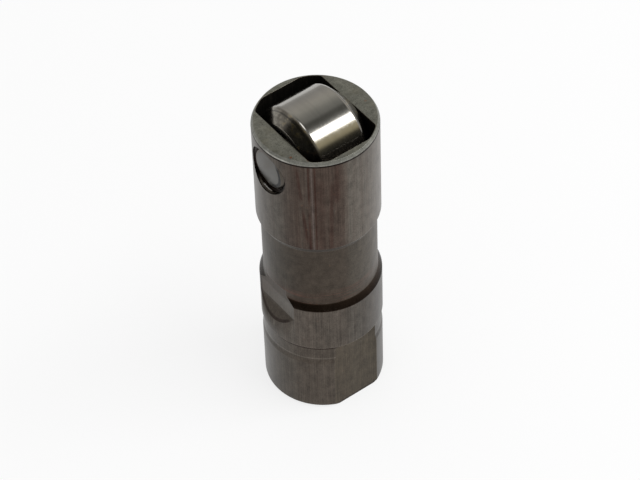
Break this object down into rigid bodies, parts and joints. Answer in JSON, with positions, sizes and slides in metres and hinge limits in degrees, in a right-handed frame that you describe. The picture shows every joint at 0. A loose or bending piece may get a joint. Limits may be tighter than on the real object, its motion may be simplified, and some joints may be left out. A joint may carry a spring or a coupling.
{
  "type": "hydraulic roller valve lifter",
  "caption": "Hydraulic roller valve lifter: ground steel body with a roller in a pocket at one end, guide flats, an oil waist, and a sprung plunger with a pushrod cup at the other end.",
  "frame": {"origin": "on the lifter's axis, at the end face round the pushrod mouth", "axes": "+Z along the lifter's axis towards the roller, +X along the roller's pin, away from the oil notch"},
  "size_m": [0.0214, 0.0214, 0.0647],
  "materials": {
    "body_steel": "ground, dark with oil",
    "pin_steel": "satin",
    "roller_steel": "polished",
    "bearing_steel": "polished",
    "ring_wire": "phosphated",
    "seat_steel": "satin",
    "disc_steel": "satin",
    "plunger_steel": "fine ground",
    "pressed_steel": "pressed sheet",
    "spring_wire": "drawn wire"
  },
  "bodies": {
    "lifter_body": {"lifter_body": "body_steel", "roller_pin": "pin_steel", "retaining_ring": "ring_wire", "plunger_spring": "spring_wire"},
    "roller_wheel": {"roller_wheel": "roller_steel"},
    "needle_set": {"needle_01": "bearing_steel", "needle_02": "bearing_steel", "needle_03": "bearing_steel", "needle_04": "bearing_steel", "needle_05": "bearing_steel", "needle_06": "bearing_steel", "needle_07": "bearing_steel", "needle_08": "bearing_steel", "needle_09": "bearing_steel", "needle_10": "bearing_steel", "needle_11": "bearing_steel", "needle_12": "bearing_steel", "needle_13": "bearing_steel", "needle_14": "bearing_steel", "needle_15": "bearing_steel", "needle_16": "bearing_steel", "needle_17": "bearing_steel", "needle_18": "bearing_steel"},
    "plunger_unit": {"plunger": "plunger_steel", "pushrod_seat": "seat_steel", "check_retainer": "pressed_steel", "check_spring": "spring_wire"},
    "metering_disc": {"metering_disc": "disc_steel"},
    "check_ball": {"check_ball": "bearing_steel"}
  },
  "joints": [
    {"name": "roller_spin", "type": "hinge", "parent": "lifter_body", "child": "roller_wheel", "pos_m": [0, 0, 0.05585], "axis": [1, 0, 0], "continuous": true},
    {"name": "needle_orbit", "type": "hinge", "parent": "lifter_body", "child": "needle_set", "pos_m": [0, 0, 0.05585], "axis": [1, 0, 0], "continuous": true},
    {"name": "plunger_travel", "type": "slide", "parent": "lifter_body", "child": "plunger_unit", "axis": [0, 0, 1], "range_m": [0, 0.0035], "stiffness_N_per_m": 2500, "springref_m": -0.006, "deforming": ["plunger_spring"]},
    {"name": "disc_float", "type": "slide", "parent": "plunger_unit", "child": "metering_disc", "axis": [0, 0, 1], "range_m": [0, 0.00025]},
    {"name": "check_ball_lift", "type": "slide", "parent": "plunger_unit", "child": "check_ball", "axis": [0, 0, 1], "range_m": [0, 0.0003], "stiffness_N_per_m": 60, "springref_m": -0.002, "deforming": ["check_spring"]}
  ],
  "couplings": [
    {"joint": "needle_orbit", "follows": "roller_spin", "ratio": 0.5869}
  ]
}
